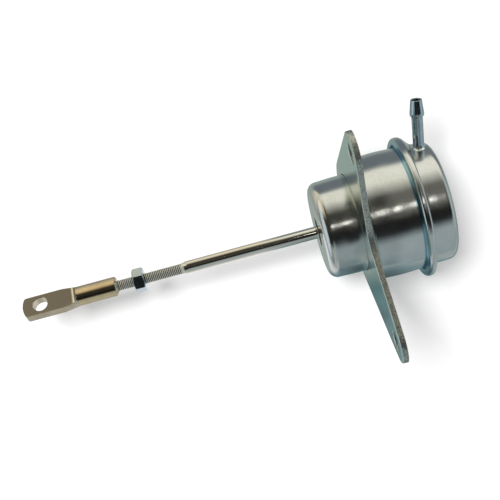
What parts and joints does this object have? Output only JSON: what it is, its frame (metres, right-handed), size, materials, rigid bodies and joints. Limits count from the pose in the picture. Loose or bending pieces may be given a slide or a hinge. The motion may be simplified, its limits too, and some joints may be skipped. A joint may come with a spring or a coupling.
{
  "type": "turbo wastegate actuator",
  "caption": "Pressure canister with a welded bolt-on bracket, a hose nipple and a spring-loaded rod that ends in a flattened eye.",
  "frame": {"origin": "midway between the two bolt holes, on the bracket's front face, which is the face on the rod's side", "axes": "+X along the canister's axis, from the rod end towards the rear cover; +Y along the line of the two bolt holes, towards the short arm and the hose nipple; +Z from the canister towards the bolt holes, which is the side that the picture shows"},
  "size_m": [0.1893, 0.1, 0.0818],
  "materials": {
    "zinc_sheet": "satin zinc plate with a faint blue and green tint, semi-mirror",
    "zinc_plate": "satin zinc plate, greenish, with grey sheared edges",
    "weld_steel": "dull weld metal",
    "nipple_steel": "glossy zinc plate with a blue tint",
    "braze_metal": "bright rippled braze",
    "rubber_black": "matte black rubber",
    "inner_steel": "plain pressed steel",
    "rod_steel": "drawn and plated, near mirror",
    "spring_steel": "dark oiled spring steel",
    "pad_plastic": "off-white nylon",
    "bronze": "sintered bronze",
    "nut_steel": "zinc plate with a blue tint",
    "rod_end_nickel": "warm nickel plate, turned and milled"
  },
  "bodies": {
    "canister": {"canister_body": "zinc_sheet", "rear_cover": "zinc_sheet", "mounting_bracket": "zinc_plate", "bracket_welds": "weld_steel", "hose_nipple": "nipple_steel", "nipple_braze": "braze_metal", "diaphragm": "rubber_black", "return_spring": "spring_steel", "spring_seat": "inner_steel", "guide_bushing": "bronze", "seal_washer": "inner_steel", "dust_seal": "rubber_black"},
    "rod": {"actuator_rod": "rod_steel", "rod_collar": "inner_steel", "piston_cup": "inner_steel", "diaphragm_retainer": "inner_steel", "rivet_washer": "inner_steel", "rest_bumper": "rubber_black", "spring_pad": "pad_plastic"},
    "nut": {"jam_nut": "nut_steel"},
    "eye": {"rod_end": "rod_end_nickel"}
  },
  "joints": [
    {"name": "rod_slide", "type": "slide", "parent": "canister", "child": "rod", "axis": [-1, 0, 0], "range_m": [0, 0.012], "stiffness_N_per_m": 2400, "springref_m": -0.0375, "deforming": ["return_spring", "diaphragm"]},
    {"name": "nut_turn", "type": "hinge", "parent": "rod", "child": "nut", "pos_m": [-0.0976, 0.005, -0.041], "axis": [1, 0, 0], "continuous": true},
    {"name": "rod_end_turn", "type": "hinge", "parent": "rod", "child": "eye", "pos_m": [-0.1423, 0.005, -0.041], "axis": [1, 0, 0], "continuous": true}
  ]
}
